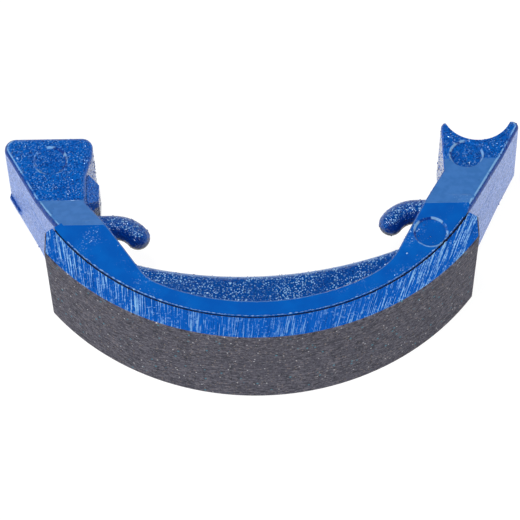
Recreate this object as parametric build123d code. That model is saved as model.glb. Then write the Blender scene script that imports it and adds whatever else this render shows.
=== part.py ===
from build123d import *
from math import cos, degrees, hypot, radians, sin, sqrt, tan
import os

# One brake shoe for a small drum brake: a die-cast shoe and the friction lining bonded to it.
# It lies on its side. The origin is on the drum's axis, in the plane of the lower side faces.
# +Z runs along the drum's axis, +X points to the pivot end, and the lining is on the -Y side.

# Lining
friction_radius = 45.0      # outer face of the lining, the radius of the drum it works in
shoe_width = 19.8           # along the drum's axis
lining_thickness = 3.8
lining_edge = 0.25          # broken edge round the friction face
bond_thickness = 0.25       # adhesive between lining and casting
bond_recess = 0.35          # how far the adhesive stays back from the lining's sides and ends
cam_lining_angle = 55.0     # each end of the lining is cut radially at this angle, then flat
pivot_lining_angle = 58.0
cam_lining_cut = 1.5        # how much of that end is radial, from the bonded face outwards
pivot_lining_cut = 1.7
lining_corner = 0.8
end_clearance = 0.12        # between the lining's ends and the casting's outer wall

# Casting, seen along the drum's axis halfway up
rim_thickness = 3.0
wall_stand = 0.05           # cast outer walls stand out from the turned seat by this
wall_shift = 0.3            # and are off centre by this, towards the pivot end
draft_angle = 1.5           # degrees, outer walls lean in towards the upper side
edge_round = 0.8            # round the upper side's pads and along its outer walls
edge_break = 0.3            # along the inner walls of arms and rim, upper side
waist_round = 1.0           # soft corners of the outline
neck_round = 2.0

cam_face = 4.1              # flat that rests on the cam, distance from the centre line
cam_cheek = 2.9             # straight outer side of the pad, below that flat
cam_pad_width = 14.9
cam_pad_corner = 1.9
cam_brow = 7.6              # end of the pad's inner side, from the centre line
cam_neck = (1.1, 11.8)      # behind the pad's inner side, and from the centre line
cam_waist = (0.95, 17.45)   # where pad and arm meet on the inner wall, measured likewise
cam_wrap = 61.5             # outer wall runs straight on from its circle at this angle
cam_cheek_round = 1.6
cam_arm_slope = 56.6        # degrees between the arm's inner wall and the X axis
cam_arm_fillet = 7.0

pivot_inset = 7.4           # pivot pin's axis, inside the friction radius
pivot_radius = 6.0          # seat for a 12 mm pin
pivot_tip = 2.05            # tips of the seat, below the centre line
pivot_tip_round = 1.1
pivot_land = 0.25           # metal between seat and inner wall
pivot_waist = 12.3
pivot_wrap = 62.6
pivot_arm_slope = 62.8
pivot_arm_fillet = 11.5

pad_step = 2.3              # pads are lower than the arms' side faces by this, on both sides
cam_ramp = (16.7, 23.1)     # ramp between pad and arm, from the centre line
pivot_ramp = (9.6, 19.9)

# Web between the arms
web_thickness = 4.4
web_round = 2.1
web_depth = 9.95            # from the rim to the inner edge, in the middle
web_edge_radius = 67.5
web_shift = 1.7             # its centre lies this far to the cam side
web_fillet = 0.7            # where it meets rim and arms

# Horns for the return springs
horn_diameter = 4.1
horn_bend = 5.2
cam_horn = (3.3, 17.6)      # where the bend starts, from the pad's inner side and the centre line
cam_horn_turn = 53.0
pivot_horn = (4.5, 15.4)
pivot_horn_turn = 56.0

# Marks of the ejector pins, upper side only
mark_diameter = 5.7
mark_floor = 5.0
mark_depth = 0.3
cam_mark = (7.05, 8.8)      # from the pad's inner side and the centre line
pivot_mark = (2.3, 8.9)     # from the pin's axis and the centre line
arm_mark = (1.3, 48.1)      # inside the rim's middle line, and its angle

# Remains of the casting process on the cam end
gate_span = (9.5, 17.0)     # broken gate on the inner wall, from the centre line
gate_height = 10.5
gate_stand = 2.1            # from the neck
gate_taper = 2.2            # how much smaller its broken face is, all round
gate_level = 11.0           # middle of the gate, above the lower side face
flash_span = (6.5, 11.5)    # ridge on the outer wall, from the centre line
flash_height = 2.4
flash_stand = 0.4
flash_level = 4.2

seat_radius = friction_radius - lining_thickness - bond_thickness
bond_radius = seat_radius + bond_thickness
rim_inner = seat_radius - rim_thickness
rim_core = (rim_inner + seat_radius) / 2
wall_radius = seat_radius + wall_stand
middle = shoe_width / 2
pad_top = shoe_width - pad_step


def polar(radius, angle):
    """Point at an angle from the middle of the lining, positive towards the pivot."""
    return (radius * sin(radians(angle)), -radius * cos(radians(angle)))


def wall_point(wrap, side, depth):
    """Point on an arm's straight outer wall at a depth below the centre line."""
    leave = Vector(wall_shift, 0) + Vector(*polar(wall_radius, side * wrap))
    return Vector(leave.X + side * (-depth - leave.Y) / tan(radians(wrap)), -depth)


cam_cheek_depth = cam_face + cam_cheek
cam_pad_outer = -wall_point(cam_wrap, -1, cam_cheek_depth).X
cam_pad_inner = cam_pad_outer - cam_pad_width
pivot_reach = friction_radius - pivot_inset
pivot_inner = pivot_reach - pivot_radius - pivot_land


def sector(inner, outer, start, end, shift=0):
    """Flat ring between two radii and two angles. The outer circle may be off centre."""
    middle_angle = (start + end) / 2
    far = outer * 1.5 / cos(radians(end - start) / 2)
    wedge = Polygon((0, 0), polar(far, start), polar(far, middle_angle), polar(far, end), align=None)
    return (Pos(shift, 0) * (Circle(outer) & wedge)) - Circle(inner)


def arm_root(waist, slope, side):
    """Point inside the rim where an arm's inner wall, drawn on from the waist, ends."""
    along = Vector(-side * cos(radians(slope)), -sin(radians(slope)))
    b = waist.dot(along)
    reach = -b + sqrt(b * b - waist.dot(waist) + rim_core * rim_core)
    return waist + along * reach


def side_outline():
    """Rim, arms and pads as one face. The corners of the outer walls are left sharp."""
    face = sector(rim_inner, wall_radius, -cam_wrap, pivot_wrap, wall_shift)

    neck = (-cam_pad_inner - cam_neck[0], -cam_neck[1])
    waist = Vector(-cam_pad_inner - cam_waist[0], -cam_waist[1])
    root = arm_root(waist, cam_arm_slope, -1)
    leave = Vector(wall_shift, 0) + Vector(*polar(wall_radius, -cam_wrap))
    cam_end = Polygon(
        (waist.X, waist.Y),
        neck,
        (-cam_pad_inner, -cam_brow),
        (-cam_pad_inner, -cam_face),
        (-cam_pad_outer, -cam_face),
        (-cam_pad_outer, -cam_cheek_depth),
        (leave.X, leave.Y),
        polar(rim_core, -(cam_wrap + 30) / 2),
        (root.X, root.Y),
        align=None,
    )

    pivot_turn = Vector(pivot_inner, -pivot_waist)
    root = arm_root(pivot_turn, pivot_arm_slope, 1)
    leave = Vector(wall_shift, 0) + Vector(*polar(wall_radius, pivot_wrap))
    tip = wall_point(pivot_wrap, 1, pivot_tip)
    pivot_end = Polygon(
        (root.X, root.Y),
        polar(rim_core, (pivot_wrap + 32) / 2),
        (leave.X, leave.Y),
        (tip.X, tip.Y),
        (pivot_inner, -pivot_tip),
        (pivot_turn.X, pivot_turn.Y),
        align=None,
    )
    face = face + cam_end + pivot_end

    def corner(x, y):
        return min(face.vertices(), key=lambda v: hypot(v.X - x, v.Y - y))

    def on_rim(side):
        """Corner where an arm's inner wall meets the rim."""
        found = [v for v in face.vertices() if abs(hypot(v.X, v.Y) - rim_inner) < 0.01 and side * v.X > 0]
        return min(found, key=lambda v: v.Y)

    face = fillet(on_rim(-1), cam_arm_fillet)
    face = fillet(on_rim(1), pivot_arm_fillet)
    for spots, radius in (
        (((-cam_pad_outer, -cam_face), (-cam_pad_inner, -cam_face)), cam_pad_corner),
        (((-cam_pad_inner, -cam_brow), neck), neck_round),
        (((waist.X, waist.Y), (pivot_turn.X, pivot_turn.Y)), waist_round),
        (((pivot_inner, -pivot_tip),), pivot_tip_round),
    ):
        face = fillet([corner(*spot) for spot in spots], radius)
    return face.faces()[0]


def outer_walls(body):
    """The rim's outer circle and the arms' straight outer walls, without the cheek and the tip."""
    found = []
    for wall in body.faces():
        spot = wall.position_at(0.5, 0.5)
        out = wall.normal_at(spot)
        if abs(out.Z) < 0.1 and out.Y < -0.2 and hypot(spot.X - wall_shift, spot.Y) > wall_radius - 0.01:
            found.append(wall)
    return found


def upright_edge(body, x, y):
    """The edge that runs from side to side nearest to a point halfway up."""
    upright = [e for e in body.edges() if e.bounding_box().size.Z > shoe_width - 0.01]
    return min(upright, key=lambda e: hypot((e @ 0.5).X - x, (e @ 0.5).Y - y))


def ramp_cut(ramp, side):
    """Material beyond a pad and its ramp, on the upper side."""
    high, low = ramp
    profile = Polygon(
        (-low, shoe_width),
        (-high, pad_top),
        (5, pad_top),
        (5, shoe_width + 2),
        (-low, shoe_width + 2),
        align=None,
    )
    return extrude(Plane.YZ * profile, 1.5 * friction_radius, dir=(side, 0, 0))


def upper_edges(body):
    """Edges to round on the upper side: those of pads and ramps, then the inner ones of arms and rim."""
    creases = (*cam_ramp, *pivot_ramp)
    cast, inner = [], []
    for edge in body.edges():
        box = edge.bounding_box()
        spot = edge @ 0.5
        if spot.Z < pad_top - 0.1 or box.size.Z > pad_step + 0.1:
            continue
        if box.size.Y < 0.01 and any(abs(spot.Y + line) < 0.01 for line in creases):
            continue
        far_out = hypot(spot.X, spot.Y) > (rim_inner + wall_radius) / 2
        if spot.Z < pad_top + 0.01 or (far_out and box.size.Z > 0.05):
            cast.append(edge)
        elif not far_out:
            inner.append(edge)
    return cast, inner


def blank():
    """Rim, arms and pads, with the ramps on both sides."""
    body = extrude(side_outline(), shoe_width)
    body = draft(outer_walls(body), Plane((0, 0, middle)), draft_angle)
    body = fillet(upright_edge(body, -cam_pad_outer, -cam_cheek_depth), cam_cheek_round)
    body = fillet(upright_edge(body, wall_point(pivot_wrap, 1, pivot_tip).X, -pivot_tip), pivot_tip_round)
    over = ramp_cut(cam_ramp, -1) + ramp_cut(pivot_ramp, 1)
    body = body - over - mirror(over, about=Plane((0, 0, middle)))
    body = fillet(upper_edges(body)[0], edge_round)
    return fillet(upper_edges(body)[1], edge_break)


def web():
    """Plate between rim and arms with a full-round inner edge."""
    rise = rim_inner - web_depth
    ring = Cylinder(web_edge_radius * 1.5, web_thickness) - Cylinder(web_edge_radius, web_thickness)
    rims = [e for e in ring.edges() if e.geom_type == GeomType.CIRCLE and abs(e.radius - web_edge_radius) < 0.01]
    ring = Pos(-web_shift, web_edge_radius - rise, middle) * fillet(rims, web_round)
    arms = cam_pad_inner + cam_waist[0]
    field = Circle(rim_core) & Pos((pivot_inner - arms) / 2, -rim_core / 2) * Rectangle(
        pivot_inner + arms + 4, rim_core
    )
    return ring & extrude(Pos(0, 0, middle - web_thickness) * field, 2 * web_thickness)


def horn(start, turn, side):
    """Round finger that leaves the arm and bends towards the lining."""
    root = (side * (start[0] + 7), -start[1], middle)
    bend = (side * start[0], -start[1], middle)
    path = Line(root, bend) + JernArc(bend, (-side, 0, 0), horn_bend, side * turn)
    tip = path @ 1
    body = sweep(Plane(root, z_dir=(-side, 0, 0)) * Circle(horn_diameter / 2), path=path)
    return body + Pos(*tip) * Sphere(horn_diameter / 2)


def mark(x, y, level):
    """Shallow round recess with a sloping wall."""
    floor = Plane((x, y, level - mark_depth))
    brim = Plane((x, y, level))
    cone = loft([floor * Circle(mark_floor / 2), brim * Circle(mark_diameter / 2)])
    return cone + extrude(brim * Circle(mark_diameter / 2), pad_step)


def gate():
    """Broken gate, a stub with sloping sides on the cam end's inner wall."""
    near, far = gate_span
    length = far - near
    neck = cam_pad_inner + cam_neck[0]
    base = Plane((-neck - 0.8, -(near + far) / 2, gate_level), x_dir=(0, 1, 0), z_dir=(1, 0, 0))
    foot = Rectangle(length, gate_height)
    crest = Rectangle(length - 2 * gate_taper, gate_height - 2 * gate_taper)
    return loft([base * foot, base * Pos(0, 0, gate_stand + 0.8) * crest], ruled=True)


def flash():
    """Low ridge on the cam end's outer wall."""
    upper, lower = (wall_point(cam_wrap, -1, depth) for depth in flash_span)
    along = (upper - lower).normalized()
    out = Vector(-along.Y, along.X)
    lean = (middle - flash_level) * tan(radians(draft_angle))
    place = Plane((upper + lower) * 0.5 + Vector(0, 0, flash_level) + out * (lean - 0.8), x_dir=along, z_dir=out)
    length = (upper - lower).length
    foot = place * Rectangle(length, flash_height)
    crest = place * Pos(0, 0, 0.8 + flash_stand) * Rectangle(length - flash_height, flash_height / 3)
    return loft([foot, crest], ruled=True)


def web_joints(body):
    """Edges where the web meets rim and arms."""
    found = []
    for edge in body.edges():
        spot = edge @ 0.5
        on_face = abs(abs(spot.Z - middle) - web_thickness / 2) < 0.01 and edge.bounding_box().size.Z < 0.01
        from_centre = hypot(spot.X + web_shift, spot.Y - (web_edge_radius - rim_inner + web_depth))
        if on_face and from_centre > web_edge_radius + web_round + 0.05:
            found.append(edge)
    return found


def shoe_casting():
    """The whole casting: rim, arms, pads, web, horns, turned seat, pin seat and casting marks."""
    body = blank() + web()
    body = fillet(web_joints(body), web_fillet)
    body = body + horn((cam_pad_inner - cam_horn[0], cam_horn[1]), cam_horn_turn, -1)
    body = body + horn((pivot_inner - pivot_horn[0], pivot_horn[1]), pivot_horn_turn, 1)
    body = body + gate() + flash()
    seat = extrude(sector(rim_core, seat_radius, -cam_lining_angle, pivot_lining_angle), shoe_width)
    past = degrees(end_clearance / bond_radius)
    turned = sector(seat_radius, friction_radius, -cam_lining_angle - past, pivot_lining_angle + past)
    body = body + seat - extrude(turned, shoe_width)
    body = body - Pos(pivot_reach, 0, middle) * Cylinder(pivot_radius, shoe_width)
    body = body - mark(-cam_pad_inner - cam_mark[0], -cam_mark[1], pad_top)
    body = body - mark(pivot_reach - pivot_mark[0], -pivot_mark[1], pad_top)
    return body - mark(*polar(rim_core - arm_mark[0], arm_mark[1]), shoe_width)


def friction_lining():
    """Arc of friction material, trimmed flat at both ends."""
    face = sector(bond_radius, friction_radius, -cam_lining_angle, pivot_lining_angle)
    for angle, cut, side in ((cam_lining_angle, cam_lining_cut, -1), (pivot_lining_angle, pivot_lining_cut, 1)):
        trim = (bond_radius + cut) * sin(radians(angle))
        waste = Rectangle(friction_radius, 2 * friction_radius)
        face = face - Pos(side * (trim + friction_radius / 2), -friction_radius) * waste
    corners = [v for v in face.vertices() if hypot(v.X, v.Y) > friction_radius - 0.01]
    block = extrude(fillet(corners, lining_corner), shoe_width)
    arcs = [e for e in block.edges() if e.geom_type == GeomType.CIRCLE and abs(e.radius - friction_radius) < 0.01]
    return chamfer(arcs, lining_edge)


def bond_film():
    """Thin layer of adhesive on the seat, short of the lining all round."""
    back = degrees(bond_recess / bond_radius)
    face = sector(seat_radius, bond_radius, -cam_lining_angle + back, pivot_lining_angle - back)
    return Pos(0, 0, bond_recess) * extrude(face, shoe_width - 2 * bond_recess)


os.makedirs("parts", exist_ok=True)
export_step(shoe_casting(), "parts/shoe_casting.step")
export_step(friction_lining(), "parts/friction_lining.step")
export_step(bond_film(), "parts/bond_film.step")
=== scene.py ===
import bpy
import math
from mathutils import Matrix, Vector, noise


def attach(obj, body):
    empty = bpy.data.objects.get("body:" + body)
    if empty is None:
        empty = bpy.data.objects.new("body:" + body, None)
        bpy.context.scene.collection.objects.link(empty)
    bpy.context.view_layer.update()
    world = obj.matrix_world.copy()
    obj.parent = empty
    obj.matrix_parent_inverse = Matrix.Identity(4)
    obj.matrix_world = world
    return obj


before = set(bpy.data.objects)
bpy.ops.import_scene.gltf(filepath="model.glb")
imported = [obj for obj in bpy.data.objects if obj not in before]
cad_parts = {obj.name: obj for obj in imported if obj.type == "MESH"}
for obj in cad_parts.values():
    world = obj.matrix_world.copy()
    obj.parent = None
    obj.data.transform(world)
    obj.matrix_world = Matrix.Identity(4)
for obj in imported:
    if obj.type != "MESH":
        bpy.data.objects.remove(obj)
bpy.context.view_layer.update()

# The brake shoe lies on its side on a white floor, seen from in front and well above.
# The meshes, lamps and camera are in metres, in the model's own frame: the drum's axis is Z and the
# lining is on the -Y side. The lengths in this first list and in the finishes are in millimetres.

MM = 0.001
MM2_PER_M2 = 1000000.0
TOP = 19.8                      # height of the upper ground faces
MIDDLE = TOP / 2                # height of the middle of the web and the horns
PAD_TOP = 17.5                  # height of the pads at both ends
MARKS = ((-34.7, -8.8), (35.3, -8.9), (28.4, -25.48))     # centres of the ejector pins' marks
MARK_RING = 2.75                # radius of their rim
MARK_RIM_HIGHLIGHT = (0.26, 0.10)         # how far from that radius the painted highlight on the rim ends and is full
GAP_RADIUS = 41.08              # middle of the dark gap beside the lining
BEAD_RADIUS = 40.78             # middle of the lip of paint along it
BOND_END = 55.0                 # degrees from the middle to the lining's ends, about
FAN = (-14.0, -140.0)           # point from which the grinding marks on the lining's side fan out
FAN_REACH = 110.0               # distance from it at which their spacing is true

# Colours of the blue paint, as linear red, green and blue; those named for shade, highlights and reflections
# are painted light
DEEP_BLUE = (0.0, 0.086, 0.42)
DEEP_BLUE_THIN = (0.0, 0.106, 0.47)
PAINTED_DIMPLE_SHADE = (0.0, 0.030, 0.20)
WEB_SHADE_BLUE = (0.0, 0.040, 0.22)
WEB_EDGE_HIGHLIGHT_BLUE = (0.10, 0.24, 0.55)
HORN_UNDERSIDE_SHADE_BLUE = (0.0, 0.012, 0.09)
EDGE_DARK_REFLECTION_BLUE = (0.0, 0.024, 0.20)
RAMP_REFLECTION_BLUE = (0.030, 0.150, 0.45)
RAMP_REFLECTION_PALE = (0.042, 0.175, 0.50)
WALL_REFLECTION_BLUE = (0.020, 0.105, 0.46)
WALL_REFLECTION_PALE = (0.11, 0.24, 0.68)
WALL_REFLECTION_LIGHT = (0.36, 0.50, 0.90)
WALL_REFLECTION_DARK = (0.0, 0.050, 0.26)
PAINTED_GLINT_BLUE = (0.38, 0.70, 1.0)
BEAD_HIGHLIGHT_BLUE = (0.25, 0.48, 0.85)
GLOSS_TINT = (0.72, 0.90, 1.0)

# Colours of the friction compound and of the paint on its ground sides
COMPOUND = (0.056, 0.055, 0.079)
COMPOUND_PALE = (0.084, 0.083, 0.114)
FIBRE_DARK = (0.016, 0.016, 0.024)
FIBRE_PALE = (0.19, 0.178, 0.205)
GRAIN_PALE = (0.18, 0.172, 0.195)
GRAIN_DARK = (0.014, 0.014, 0.020)
BRASS_GRAIN = (0.30, 0.24, 0.19)
WHITE_GRAIN = (0.60, 0.60, 0.62)
TEAL_GRAIN = (0.05, 0.24, 0.33)
SIDE_BLUE = (0.0, 0.096, 0.47)
SIDE_BLUE_DARK = (0.0, 0.058, 0.31)
SCRATCH_BLUE = (0.34, 0.64, 0.92)
ADHESIVE_BLACK = (0.002, 0.003, 0.010)


class Value:
    """A socket in a node tree. Sums written on it add the Math nodes."""

    def __init__(self, maker, socket):
        self.maker = maker
        self.socket = socket

    def sum(self, operation, *values):
        return self.maker.node("ShaderNodeMath", {"operation": operation}, dict(enumerate(values)))

    def __add__(self, other):
        return self.sum("ADD", self, other)

    def __radd__(self, other):
        return self.sum("ADD", other, self)

    def __sub__(self, other):
        return self.sum("SUBTRACT", self, other)

    def __rsub__(self, other):
        return self.sum("SUBTRACT", other, self)

    def __mul__(self, other):
        return self.sum("MULTIPLY", self, other)

    def __rmul__(self, other):
        return self.sum("MULTIPLY", other, self)

    def __truediv__(self, other):
        return self.sum("DIVIDE", self, other)

    def __rtruediv__(self, other):
        return self.sum("DIVIDE", other, self)

    def __pow__(self, other):
        return self.sum("POWER", self, other)

    def __rpow__(self, other):
        return self.sum("POWER", other, self)

    def __abs__(self):
        return self.sum("ABSOLUTE", self)

    def most(self, other):
        return self.sum("MAXIMUM", self, other)

    def ease(self, low, high):
        """0 at low and 1 at high, smooth in between. With low above high it falls as the value rises."""
        return self.maker.node(
            "ShaderNodeMapRange",
            {"interpolation_type": "SMOOTHSTEP"},
            {"Value": self, "From Min": low, "From Max": high, "To Min": 0.0, "To Max": 1.0},
        )


class Tree:
    """A node tree, and one method that adds any node to it."""

    def __init__(self, tree):
        self.tree = tree
        tree.nodes.clear()

    def make(self, kind, settings=None, sockets=None):
        """Adds a node, sets it up, fills or links its sockets and gives the node back."""
        made = self.tree.nodes.new(kind)
        for name, setting in (settings or {}).items():
            setattr(made, name, setting)
        for name, value in (sockets or {}).items():
            socket = made.inputs[name]
            if isinstance(value, Value):
                self.tree.links.new(value.socket, socket)
            elif socket.type == "RGBA":
                socket.default_value = (*value, 1.0)
            else:
                socket.default_value = value
        return made

    def node(self, kind, settings=None, sockets=None, out=0):
        """The same, but gives back one of the node's outputs."""
        return Value(self, self.make(kind, settings, sockets).outputs[out])

    def split(self, vector):
        made = self.make("ShaderNodeSeparateXYZ", None, {0: vector})
        return tuple(Value(self, socket) for socket in made.outputs)

    def noise(self, vector, scale, detail=2.0, rough=0.5, distort=0.0):
        return self.node(
            "ShaderNodeTexNoise",
            {"noise_dimensions": "3D"},
            {"Vector": vector, "Scale": scale, "Detail": detail, "Roughness": rough, "Distortion": distort},
            out="Fac",
        )


class Finish(Tree):
    """A material and its shader tree."""

    def __init__(self, name):
        self.material = bpy.data.materials.new(name)
        self.material.use_nodes = True
        super().__init__(self.material.node_tree)

    def place(self):
        """Where on the part, in millimetres."""
        at = self.node("ShaderNodeTexCoord", out="Object")
        return self.node("ShaderNodeVectorMath", {"operation": "SCALE"}, {0: at, "Scale": 1 / MM})

    def facing(self):
        """The surface's direction on the part."""
        return self.node("ShaderNodeTexCoord", out="Normal")

    def stretch(self, vector, x=1.0, y=1.0, z=1.0, shift=(0.0, 0.0, 0.0)):
        return self.node(
            "ShaderNodeMapping",
            {"vector_type": "POINT"},
            {"Vector": vector, "Location": shift, "Scale": (x, y, z)},
        )

    def cells(self, vector, scale, shift=(0.0, 0.0, 0.0)):
        """Distance to the nearest of scattered points, as a share of their spacing of 1 / scale."""
        return self.node(
            "ShaderNodeTexVoronoi",
            {"feature": "F1"},
            {"Vector": self.stretch(vector, shift=shift), "Scale": scale, "Randomness": 1.0},
            out="Distance",
        )

    def blend(self, share, first, second):
        """Mixes two colours."""
        return self.node(
            "ShaderNodeMix", {"data_type": "RGBA", "clamp_factor": True}, {0: share, 6: first, 7: second}, out=2
        )

    def bump(self, height, depth):
        """Bump of a height that runs from 0 to 1, so many millimetres deep."""
        return self.node(
            "ShaderNodeBump", None, {"Height": height, "Distance": depth * MM, "Strength": 1.0}, out="Normal"
        )

    def end(self, shader):
        self.make("ShaderNodeOutputMaterial", None, {"Surface": shader})
        return self.material


def blue_paint():
    """Glossy blue paint: lumpy on the cast skin and speckled with painted glints, smooth on ramps, thin on
    ground faces, with painted shade, highlights and reflections in places.
    """
    m = Finish("blue_paint")
    at = m.place()
    x, y, z = m.split(at)
    nx, ny, nz = m.split(m.facing())
    height = abs(z - MIDDLE)
    radius = (x * x + y * y) ** 0.5
    out = (x * nx + y * ny) / radius

    # Parts of the casting, 1 on them and 0 elsewhere
    ground = height.ease(9.45, 9.55) * abs(nz).ease(0.9, 0.98)
    ramp = (nz.ease(0.995, 0.985) * nz.ease(0.88, 0.93)) * z.ease(PAD_TOP - 0.05, PAD_TOP + 0.1)
    smooth = ground.most(ramp)
    wall = abs(nz).ease(0.3, 0.12) * out.ease(0.2, 0.6) * height.ease(MIDDLE - 0.1, MIDDLE - 0.7)
    wall = wall * radius.ease(39.0, 40.5)
    bead = z.ease(TOP + 0.02, TOP + 0.06)
    inside = y.ease(-11.0, -13.0)
    horns = inside * y.ease(-23.0, -21.5) * height.ease(2.8, 2.4)
    web = inside * height.ease(4.0, 3.0) * nz.ease(0.5, 0.9)
    web_edge_highlight = ny.ease(0.15, 0.7) * nz.ease(0.97, 0.8) * height.ease(2.4, 2.1) * y.ease(-21.0, -24.0)
    horn_underside_shade = nz.ease(0.45, -0.2) * ny.ease(0.3, -0.2) * height.ease(2.6, 2.2) * inside
    edge_dark_reflection = nz.ease(0.15, 0.35) * nz.ease(0.93, 0.82) * out.ease(0.05, 0.25)
    rim_highlight = nz.ease(0.86, 0.93) * nz.ease(0.995, 0.975) * out.ease(0.02, 0.1) * height.ease(5.0, 6.0)

    # Patterns, coarse to fine
    crowd = m.noise(at, 0.16, 3.0, 0.6, 0.4).ease(0.48, 0.66) * abs(x).ease(10.0, 18.0)
    cloud = m.noise(at, 0.3, 3.0, 0.5)
    drift = m.noise(at, 0.45, 3.0, 0.6)
    broken = m.noise(at, 0.55, 2.0, 0.6).ease(0.44, 0.56) * nz.ease(0.2, 0.5)
    peel = m.noise(at, 0.8, 2.0, 0.5)
    grit = m.noise(at, 1.9, 2.0, 0.6)
    wear = m.noise(m.stretch(at, y=0.1), 1.9, 3.0, 0.6)
    fine = m.noise(at, 3.4, 2.0, 0.6)
    pits = m.cells(at, 1.4, (3.1, 0.7, 1.9)).ease(0.05, 0.42)
    rare = m.cells(at, 1.2, (2.0, 9.0, 4.0)).ease(0.22, 0.12)
    glint = m.cells(at, 2.8, (7.0, 3.0, 2.0)).ease(0.46, 0.28) * fine.ease(0.38, 0.54)

    # Painted glints as bright specks, on the web most of all, and painted highlights on the rims of the marks
    # and along the outer top edges
    painted_glints = glint * drift.ease(0.34, 0.54) * (0.24 + height.ease(6.5, 3.0) * 0.50) * nz.ease(0.66, 0.96)
    bright = (painted_glints * (1.0 - smooth) + rare.most(0.22) * glint * crowd * ground) * (1.0 - wall)
    for across, along in MARKS:
        reach = ((x - across) ** 2.0 + (y - along) ** 2.0) ** 0.5
        ring_highlight = abs(reach - MARK_RING).ease(*MARK_RIM_HIGHLIGHT) * broken
        bright = bright.most(ring_highlight * (1.0 - ramp) * 0.45)
    # Thin painted highlight along the outer top edges of the pads and arms
    bright = bright.most(rim_highlight * drift.ease(0.38, 0.5) * 0.45)

    deep = m.blend(cloud.ease(0.35, 0.7), DEEP_BLUE, DEEP_BLUE_THIN)
    # Darker mottles on the cast skin: painted shade, as in its dimples
    deep = m.blend((1.0 - smooth) * fine.ease(0.5, 0.38) * 0.85, deep, PAINTED_DIMPLE_SHADE)
    # Darker web: painted shade in the pocket between rim and arms
    deep = m.blend(web * 0.45, deep, WEB_SHADE_BLUE)
    # Paler rounded edges of the web: a painted highlight
    deep = m.blend(web_edge_highlight * 0.8, deep, WEB_EDGE_HIGHLIGHT_BLUE)
    # Darker undersides of the horns: painted shade
    deep = m.blend(horn_underside_shade, deep, HORN_UNDERSIDE_SHADE_BLUE)
    # Dark band on the rounded outer top edges: a painted reflection of dark surroundings
    deep = m.blend(edge_dark_reflection * 0.85, deep, EDGE_DARK_REFLECTION_BLUE)
    # Paler ramps: a painted reflection of the white surround, varying at random
    ramp_reflection = m.blend(peel.ease(0.35, 0.65), RAMP_REFLECTION_BLUE, RAMP_REFLECTION_PALE)
    # Paler outer walls: a painted reflection of the white floor, with painted light and dark specks
    pale = m.blend(grit.ease(0.40, 0.60), WALL_REFLECTION_BLUE, WALL_REFLECTION_PALE)
    pale = m.blend(fine.ease(0.54, 0.64) * 0.8, pale, WALL_REFLECTION_LIGHT)
    pale = m.blend(fine.ease(0.44, 0.34) * 0.7, pale, WALL_REFLECTION_DARK)
    colour = m.blend(wall, m.blend(ramp, deep, ramp_reflection), pale)
    # Bright specks: painted glints and highlights
    colour = m.blend(bright, colour, PAINTED_GLINT_BLUE)
    # Paler paint bead and tops above the ground faces: a painted highlight
    colour = m.blend(bead, colour, BEAD_HIGHLIGHT_BLUE)

    cast_skin = peel * 0.55 + grit * (0.30 + horns * 0.9) + pits * 0.30
    ground_skin = wear * 0.06 + pits * crowd * 0.30
    lumps = cast_skin * (1.0 - smooth) + ground_skin * ground + peel * 0.12 * ramp
    shader = m.node(
        "ShaderNodeBsdfPrincipled",
        None,
        {
            "Base Color": colour,
            "Roughness": 0.13 + ramp * 0.27 + wall * 0.15,
            "Specular IOR Level": 0.5,
            "Specular Tint": GLOSS_TINT,
            "Normal": m.bump(lumps, 0.26),
        },
    )
    return m.end(shader)


def friction_material():
    """Matte friction compound, with blue paint on its ground sides and grinding marks in the paint."""
    m = Finish("friction_material")
    at = m.place()
    x, y, z = m.split(at)
    height = abs(z - MIDDLE)
    side = height.ease(MIDDLE - 0.06, MIDDLE - 0.02)
    ends = abs(x).ease(6.0, 26.0)

    spread = (x - FAN[0]) * FAN_REACH / (y - FAN[1])
    narrow = m.node("ShaderNodeCombineXYZ", None, {0: spread * 6.5, 1: y * 0.22, 2: z})
    streak = m.noise(narrow, 1.0, 2.0, 0.6)
    wide = m.node("ShaderNodeCombineXYZ", None, {0: spread * 0.9, 1: y * 0.06, 2: z})
    broad = m.noise(wide, 1.0, 2.0, 0.5)
    cloud = m.noise(at, 0.5, 4.0, 0.65)
    weave = m.noise(m.stretch(at, 0.8, 0.8, 2.6), 1.0, 4.0, 0.8)
    dapple = m.noise(at, 2.6, 3.0, 0.65)
    brass = m.cells(at, 1.3)
    white = m.cells(at, 0.8, (5.0, 2.0, 1.0))
    teal = m.cells(at, 0.55, (1.0, 8.0, 3.0))

    compound = m.blend(cloud.ease(0.3, 0.7), COMPOUND, COMPOUND_PALE)
    compound = m.blend(weave.ease(0.50, 0.36) * 0.85, compound, FIBRE_DARK)
    compound = m.blend(weave.ease(0.50, 0.64) * 0.7, compound, FIBRE_PALE)
    compound = m.blend(dapple.ease(0.56, 0.70), compound, GRAIN_PALE)
    compound = m.blend(dapple.ease(0.44, 0.32), compound, GRAIN_DARK)
    compound = m.blend(brass.ease(0.22, 0.12) * 0.55, compound, BRASS_GRAIN)
    compound = m.blend(white.ease(0.13, 0.07) * 0.9, compound, WHITE_GRAIN)
    compound = m.blend(teal.ease(0.14, 0.06) * 0.9, compound, TEAL_GRAIN)

    scratches = (streak * 0.72 + dapple * 0.24 + broad * 0.18 + ends * 0.02).ease(0.615, 0.69)
    scratches = scratches.most(dapple.ease(0.60, 0.66) * 0.6)
    paint = m.blend(streak.ease(0.48, 0.34), SIDE_BLUE, SIDE_BLUE_DARK)
    paint = m.blend(scratches * (0.45 + ends * 0.34), paint, SCRATCH_BLUE)
    shader = m.node(
        "ShaderNodeBsdfPrincipled",
        None,
        {
            "Base Color": m.blend(side, compound, paint),
            "Roughness": 0.9 - side * 0.7,
            "Specular IOR Level": 0.4,
            "Normal": m.bump(weave * (1.0 - side) + streak * side * 0.25, 0.2),
        },
    )
    return m.end(shader)


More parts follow.
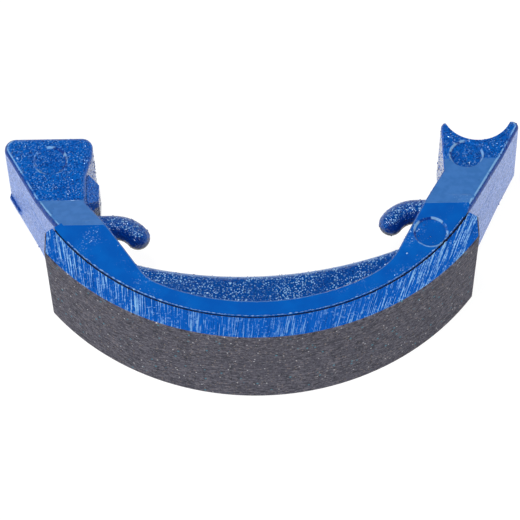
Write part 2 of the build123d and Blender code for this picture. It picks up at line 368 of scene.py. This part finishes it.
def adhesive():
    """Nearly black bond line."""
    m = Finish("adhesive")
    shader = m.node(
        "ShaderNodeBsdfPrincipled",
        None,
        {
            "Base Color": ADHESIVE_BLACK,
            "Roughness": 0.55,
            "Specular IOR Level": 0.15,
            "Normal": m.bump(m.noise(m.place(), 2.0), 0.1),
        },
    )
    return m.end(shader)


def white_floor():
    """White to the camera and in reflections, and a plain pale floor to the light."""
    m = Finish("white_floor")
    seen = m.node("ShaderNodeLightPath", out="Is Camera Ray")
    for ray in ("Is Glossy Ray", "Is Transmission Ray"):
        seen = seen.most(m.node("ShaderNodeLightPath", out=ray))
    pale = m.node("ShaderNodeBsdfDiffuse", None, {"Color": (0.8, 0.8, 0.8)})
    bright = m.node("ShaderNodeEmission", None, {"Color": (1.0, 1.0, 1.0), "Strength": 0.97})
    faint = m.node("ShaderNodeBsdfDiffuse", None, {"Color": (0.1, 0.1, 0.1)})
    sheet = m.node("ShaderNodeAddShader", None, {0: bright, 1: faint})
    return m.end(m.node("ShaderNodeMixShader", None, {0: seen, 1: pale, 2: sheet}))


finishes = {"blue_paint": blue_paint(), "friction_material": friction_material(), "adhesive": adhesive()}
SLOTS = {"shoe_casting": "blue_paint", "friction_lining": "friction_material", "bond_film": "adhesive"}
for node, slot in SLOTS.items():
    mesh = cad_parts[node].data
    mesh.materials.clear()
    mesh.materials.append(finishes[slot])


def arc_point(radius, angle, height):
    """Point in metres at an angle in degrees from the middle of the lining."""
    turn = math.radians(angle)
    return Vector((radius * math.sin(turn), -radius * math.cos(turn), height)) * MM


def strip_along_bond(name, start, end, section, material):
    """Closed strip along the bond. section(angle) gives its inner radius, outer radius and height."""
    step, sunk = 0.2, -0.04
    steps = int((end - start) / step)
    verts, faces = [], []
    for index in range(steps + 1):
        angle = start + (end - start) * index / steps
        inner, outer, rise = section(angle)
        middle, shoulder = (inner + outer) / 2, rise * 0.4
        profile = ((inner, sunk), (inner, shoulder), (middle, rise), (outer, shoulder), (outer, sunk))
        for radius, height in profile:
            verts.append(arc_point(radius, angle, TOP + height))
    for index in range(steps):
        for side in range(5):
            low, high = index * 5 + side, index * 5 + (side + 1) % 5
            faces.append((low, high, high + 5, low + 5))
    faces.append(tuple(range(4, -1, -1)))
    faces.append(tuple(steps * 5 + side for side in range(5)))
    mesh = bpy.data.meshes.new(name)
    mesh.from_pydata(verts, [], faces)
    mesh.materials.append(material)
    mesh.shade_smooth()
    piece = bpy.data.objects.new(name, mesh)
    bpy.context.scene.collection.objects.link(piece)
    return piece


def ragged(angle, pace, shift):
    """Smooth random value about 0 that changes along the bond."""
    return noise.noise(Vector((angle * pace, shift, 0.0)))


def crack(angle):
    """Dark ragged gap between lining and casting, wider towards the ends and in places painted over."""
    width = 0.01 + 0.14 * ragged(angle, 1.9, 3.0) + 0.14 * ragged(angle, 5.3, 9.0)
    width += 0.15 * abs(angle) / BOND_END
    if ragged(angle, 0.5, 17.0) > (0.28 if abs(angle) > 25.0 else 0.0):
        width *= 0.3
    centre = GAP_RADIUS + 0.10 * ragged(angle, 1.3, 21.0) + 0.05 * ragged(angle, 4.1, 25.0)
    width = max(0.02, width)
    return centre - width, centre + width, 0.02


def paint_bead(angle):
    """Lip of paint beside that gap, on the casting."""
    width = 0.06 + 0.12 * ragged(angle, 1.2, 31.0) + 0.05 * ragged(angle, 4.7, 35.0)
    width += 0.03 * (angle < -18.0)
    centre = BEAD_RADIUS + 0.12 * ragged(angle, 0.9, 41.0) + 0.06 * ragged(angle, 3.7, 45.0)
    rise = 0.06 + 0.12 * ragged(angle, 1.6, 51.0)
    width = max(0.02, width)
    return centre - width, centre + width, max(0.01, rise)


def grit_nodes():
    """Scatters small lumps over the cast skin: few on ground faces, none on ramps and outer walls."""
    group = bpy.data.node_groups.new("grit", "GeometryNodeTree")
    inputs = (
        ("Casting", "Geometry"), ("Lumps per mm2", "Float"), ("Largest mm", "Float"), ("Seed", "Int"),
        ("Paint", "Material"),
    )
    for name, kind in inputs:
        group.interface.new_socket(name=name, in_out="INPUT", socket_type="NodeSocket" + kind)
    group.interface.new_socket(name="Lumps", in_out="OUTPUT", socket_type="NodeSocketGeometry")
    m = Tree(group)
    given = m.make("NodeGroupInput")
    casting, dense, largest, seed, paint = (Value(m, given.outputs[name]) for name, kind in inputs)
    place = m.node("GeometryNodeInputPosition")
    at = m.node("ShaderNodeVectorMath", {"operation": "SCALE"}, {0: place, "Scale": 1 / MM})
    x, y, z = m.split(at)
    nx, ny, nz = m.split(m.node("GeometryNodeInputNormal"))
    out = (x * nx + y * ny) / (x * x + y * y) ** 0.5
    ground = abs(z - MIDDLE).ease(MIDDLE - 0.02, MIDDLE - 0.01)
    ramp = nz.ease(0.995, 0.985) * nz.ease(0.88, 0.93) * z.ease(PAD_TOP - 0.05, PAD_TOP + 0.05)
    cam_face = ny.ease(0.9, 0.99) * y.ease(-5.0, -4.2)
    under = z.ease(0.6, 0.2)
    wall = abs(nz).ease(0.4, 0.2) * out.ease(0.1, 0.3)
    crowd = m.noise(at, 0.22, 3.0, 0.6).ease(0.52, 0.66) * abs(x).ease(10.0, 18.0)
    share = (1.0 - ground) * (1.0 - ramp) * (1.0 - cam_face) * (1.0 - under) * (1.0 - wall)
    share = share + ground * crowd * 0.5 * (1.0 - under)
    points = m.make(
        "GeometryNodeDistributePointsOnFaces",
        None,
        {"Mesh": casting, "Density": share * dense * MM2_PER_M2, "Seed": seed},
    )
    wide = m.node("FunctionNodeRandomValue", {"data_type": "FLOAT"}, {2: 0.2, 3: 1.0}, out=1) ** 2.0
    wide = wide * largest * MM
    lumps = m.node(
        "GeometryNodeInstanceOnPoints",
        None,
        {
            "Points": Value(m, points.outputs["Points"]),
            "Instance": m.node("GeometryNodeMeshIcoSphere", None, {"Radius": 1.0, "Subdivisions": 1}),
            "Rotation": Value(m, points.outputs["Rotation"]),
            "Scale": m.node("ShaderNodeCombineXYZ", None, {0: wide, 1: wide, 2: wide * 0.55}),
        },
    )
    real = m.node("GeometryNodeRealizeInstances", None, {"Geometry": lumps})
    smooth = m.node("GeometryNodeSetShadeSmooth", None, {"Geometry": real})
    done = m.node("GeometryNodeSetMaterial", None, {"Geometry": smooth, "Material": paint})
    m.make("NodeGroupOutput", None, {0: done})
    return group


def grit_on(node, name, **inputs):
    """Bakes the lumps for one CAD node into a piece of its own."""
    carrier = bpy.data.objects.new(name + "_carrier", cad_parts[node].data.copy())
    bpy.context.scene.collection.objects.link(carrier)
    scatter = carrier.modifiers.new("grit", "NODES")
    scatter.node_group = grit_nodes()
    for item in scatter.node_group.interface.items_tree:
        if item.in_out == "INPUT" and item.name in inputs:
            scatter[item.identifier] = inputs[item.name]
    bpy.context.view_layer.update()
    ready = carrier.evaluated_get(bpy.context.evaluated_depsgraph_get())
    piece = bpy.data.objects.new(name, bpy.data.meshes.new_from_object(ready))
    bpy.data.objects.remove(carrier)
    bpy.context.scene.collection.objects.link(piece)
    return piece


GRIT = {"Lumps per mm2": 0.95, "Largest mm": 0.2, "Seed": 7, "Paint": finishes["blue_paint"]}
grit = grit_on("shoe_casting", "paint_grit", **GRIT)
gap = strip_along_bond("bond_gap", -47.0, 57.6, crack, finishes["adhesive"])
bead = strip_along_bond("paint_bead", -50.0, 56.0, paint_bead, finishes["blue_paint"])
for piece, slot in ((grit, "blue_paint"), (gap, "adhesive"), (bead, "blue_paint")):
    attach(piece, "root")

# Floor
REACH = 3.0
corners = [(x * REACH, y * REACH, 0.0) for x, y in ((-1, -1), (1, -1), (1, 1), (-1, 1))]
floor_mesh = bpy.data.meshes.new("floor")
floor_mesh.from_pydata(corners, [], [(0, 1, 2, 3)])
floor_mesh.materials.append(white_floor())
floor = bpy.data.objects.new("floor", floor_mesh)
bpy.context.scene.collection.objects.link(floor)

# Light: a white surround that dims upwards for the object but not for the camera, and three softboxes
world = bpy.data.worlds.new("studio")
bpy.context.scene.world = world
world.use_nodes = True
sky = Tree(world.node_tree)
upward = sky.split(sky.node("ShaderNodeTexCoord", out="Generated"))[2]
camera_ray = sky.node("ShaderNodeLightPath", out="Is Camera Ray")
strength = camera_ray + (1.0 - camera_ray) * (1.0 - upward.ease(0.1, 0.55) * 0.9)
surround = sky.node("ShaderNodeBackground", None, {"Color": (1.0, 1.0, 1.0), "Strength": strength})
sky.make("ShaderNodeOutputWorld", None, {"Surface": surround})

AIM = Vector((0.0, -0.02, 0.01))


def softbox(name, place, size, power):
    light = bpy.data.lights.new(name, "AREA")
    light.shape = "RECTANGLE"
    light.size, light.size_y = size
    light.energy = power
    lamp = bpy.data.objects.new(name, light)
    lamp.location = place
    lamp.rotation_euler = (AIM - Vector(place)).to_track_quat("-Z", "Y").to_euler()
    bpy.context.scene.collection.objects.link(lamp)


softbox("key_softbox", (-0.10, -0.06, 0.7), (0.13, 0.13), 3.7)
softbox("right_softbox", (0.5, -0.35, 0.16), (0.25, 0.2), 1.05)
softbox("left_softbox", (-0.5, -0.35, 0.16), (0.25, 0.2), 1.2)

# Camera, at the photograph's viewing angle
FRAME = 520.0                   # pixels across
FOCAL = 2500.0                  # pixels
FILM = 36.0
PITCH = math.radians(59.09)
ROLL = math.radians(0.94)
PLACE = Vector((0.00030, -0.23977, 0.36959))
ahead = Vector((0.0, math.cos(PITCH), -math.sin(PITCH)))
right = Vector((1.0, 0.0, 0.0))
down = Vector((0.0, -math.sin(PITCH), -math.cos(PITCH)))
turned_right = right * math.cos(ROLL) + down * math.sin(ROLL)
turned_down = down * math.cos(ROLL) - right * math.sin(ROLL)
lens = bpy.data.cameras.new("camera")
lens.sensor_width = FILM
lens.lens = FILM * FOCAL / FRAME
lens.clip_start, lens.clip_end = 0.01, 20.0
camera = bpy.data.objects.new("camera", lens)
axes = Matrix((turned_right, -turned_down, -ahead)).transposed()
camera.matrix_world = Matrix.Translation(PLACE) @ axes.to_4x4()
bpy.context.scene.collection.objects.link(camera)
bpy.context.scene.camera = camera
bpy.context.scene.view_settings.view_transform = "Standard"
